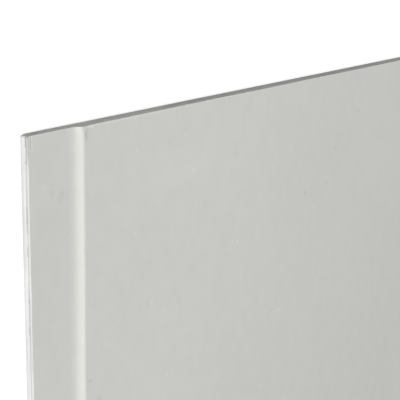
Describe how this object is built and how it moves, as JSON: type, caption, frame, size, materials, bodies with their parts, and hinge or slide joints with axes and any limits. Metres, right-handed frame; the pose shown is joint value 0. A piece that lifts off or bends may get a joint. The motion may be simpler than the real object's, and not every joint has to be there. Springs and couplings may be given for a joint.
{
  "type": "drywall sheet",
  "caption": "Flat rectangular sheet of paper-faced gypsum board with tapered long edges and square cut ends, for lining walls and ceilings.",
  "frame": {"origin": "middle of the back, on the surface that the sheet lies on", "axes": "+Y along the sheet, +X across it, +Z out of the recessed face"},
  "size_m": [1.2, 2.4, 0.0095],
  "materials": {
    "face_paper": "matte",
    "back_paper": "matte",
    "gypsum_core": "matte"
  },
  "bodies": {
    "root": {"drywall_sheet": "face_paper"}
  },
  "joints": []
}
